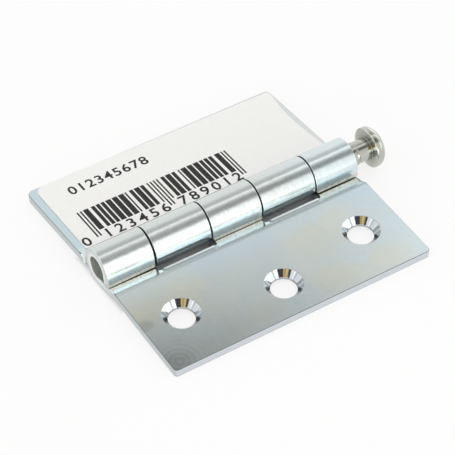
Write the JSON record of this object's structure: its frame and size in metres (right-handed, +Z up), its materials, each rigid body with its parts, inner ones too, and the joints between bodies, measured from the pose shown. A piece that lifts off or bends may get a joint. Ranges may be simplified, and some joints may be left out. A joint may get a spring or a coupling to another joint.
{
  "type": "loose-pin butt hinge",
  "caption": "Open steel butt hinge with rolled knuckles, countersunk screw holes, a paper label and a button-head loose pin drawn part of the way out.",
  "frame": {"origin": "on the surface the open hinge lies on, below the centre of the whole hinge with its pin drawn out", "axes": "+X along the barrel towards the pin's head, +Y towards the leaf that carries the label, +Z up out of the leaves' faces"},
  "size_m": [0.0914, 0.0804, 0.012],
  "materials": {
    "zinc_plated_steel": "satin",
    "nickel_plated_steel": "gloss",
    "label_paper": "matte"
  },
  "bodies": {
    "near_leaf": {"near_leaf": "zinc_plated_steel"},
    "far_leaf": {"far_leaf": "zinc_plated_steel", "paper_label": "label_paper"},
    "pin": {"hinge_pin": "nickel_plated_steel"}
  },
  "joints": [
    {"name": "leaf_swing", "type": "hinge", "parent": "near_leaf", "child": "far_leaf", "pos_m": [-0.0057, 0, 0.006], "axis": [1, 0, 0], "range_deg": [-110, 186.4]},
    {"name": "pin_slide", "type": "slide", "parent": "near_leaf", "child": "pin", "axis": [1, 0, 0], "range_m": [-0.007, 0.072]}
  ]
}
